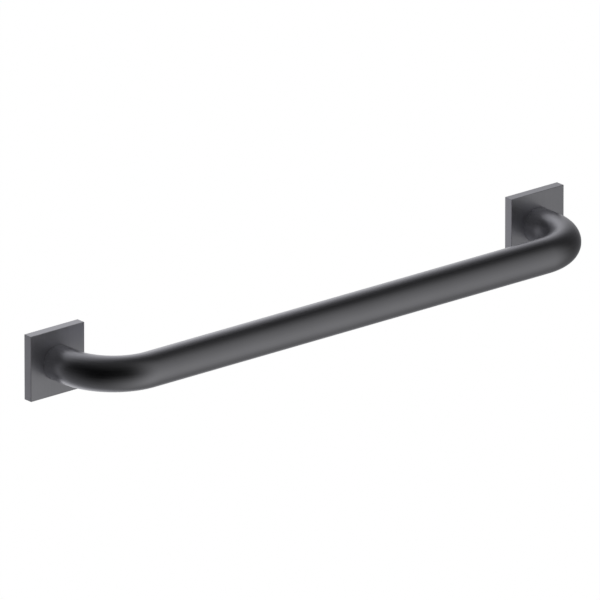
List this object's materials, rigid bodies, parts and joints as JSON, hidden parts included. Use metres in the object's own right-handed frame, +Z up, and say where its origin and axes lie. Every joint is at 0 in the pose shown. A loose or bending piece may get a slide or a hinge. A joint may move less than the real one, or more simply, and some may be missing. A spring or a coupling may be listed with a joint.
{
  "type": "grab bar",
  "caption": "Wall-fixed grab bar: a round tube bent to the wall at both ends, welded into screw-on flanges hidden by square covers.",
  "frame": {"origin": "on the wall, midway between the two fixing centres", "axes": "+X along the bar to the right as seen from the room, +Y out of the back of the bar into the wall, +Z up"},
  "size_m": [0.666, 0.0995, 0.066],
  "materials": {
    "satin_gunmetal": "stainless steel with a dark gunmetal coating, fine satin",
    "flange_steel": "turned stainless steel with the same dark coating, duller",
    "weld_steel": "coated weld, slightly rippled",
    "screw_steel": "blackened steel"
  },
  "bodies": {
    "root": {"bar_tube": "satin_gunmetal", "left_wall_flange": "flange_steel", "left_weld": "weld_steel", "left_cover": "satin_gunmetal", "left_grub_screw": "screw_steel", "right_wall_flange": "flange_steel", "right_weld": "weld_steel", "right_cover": "satin_gunmetal", "right_grub_screw": "screw_steel"}
  },
  "joints": []
}
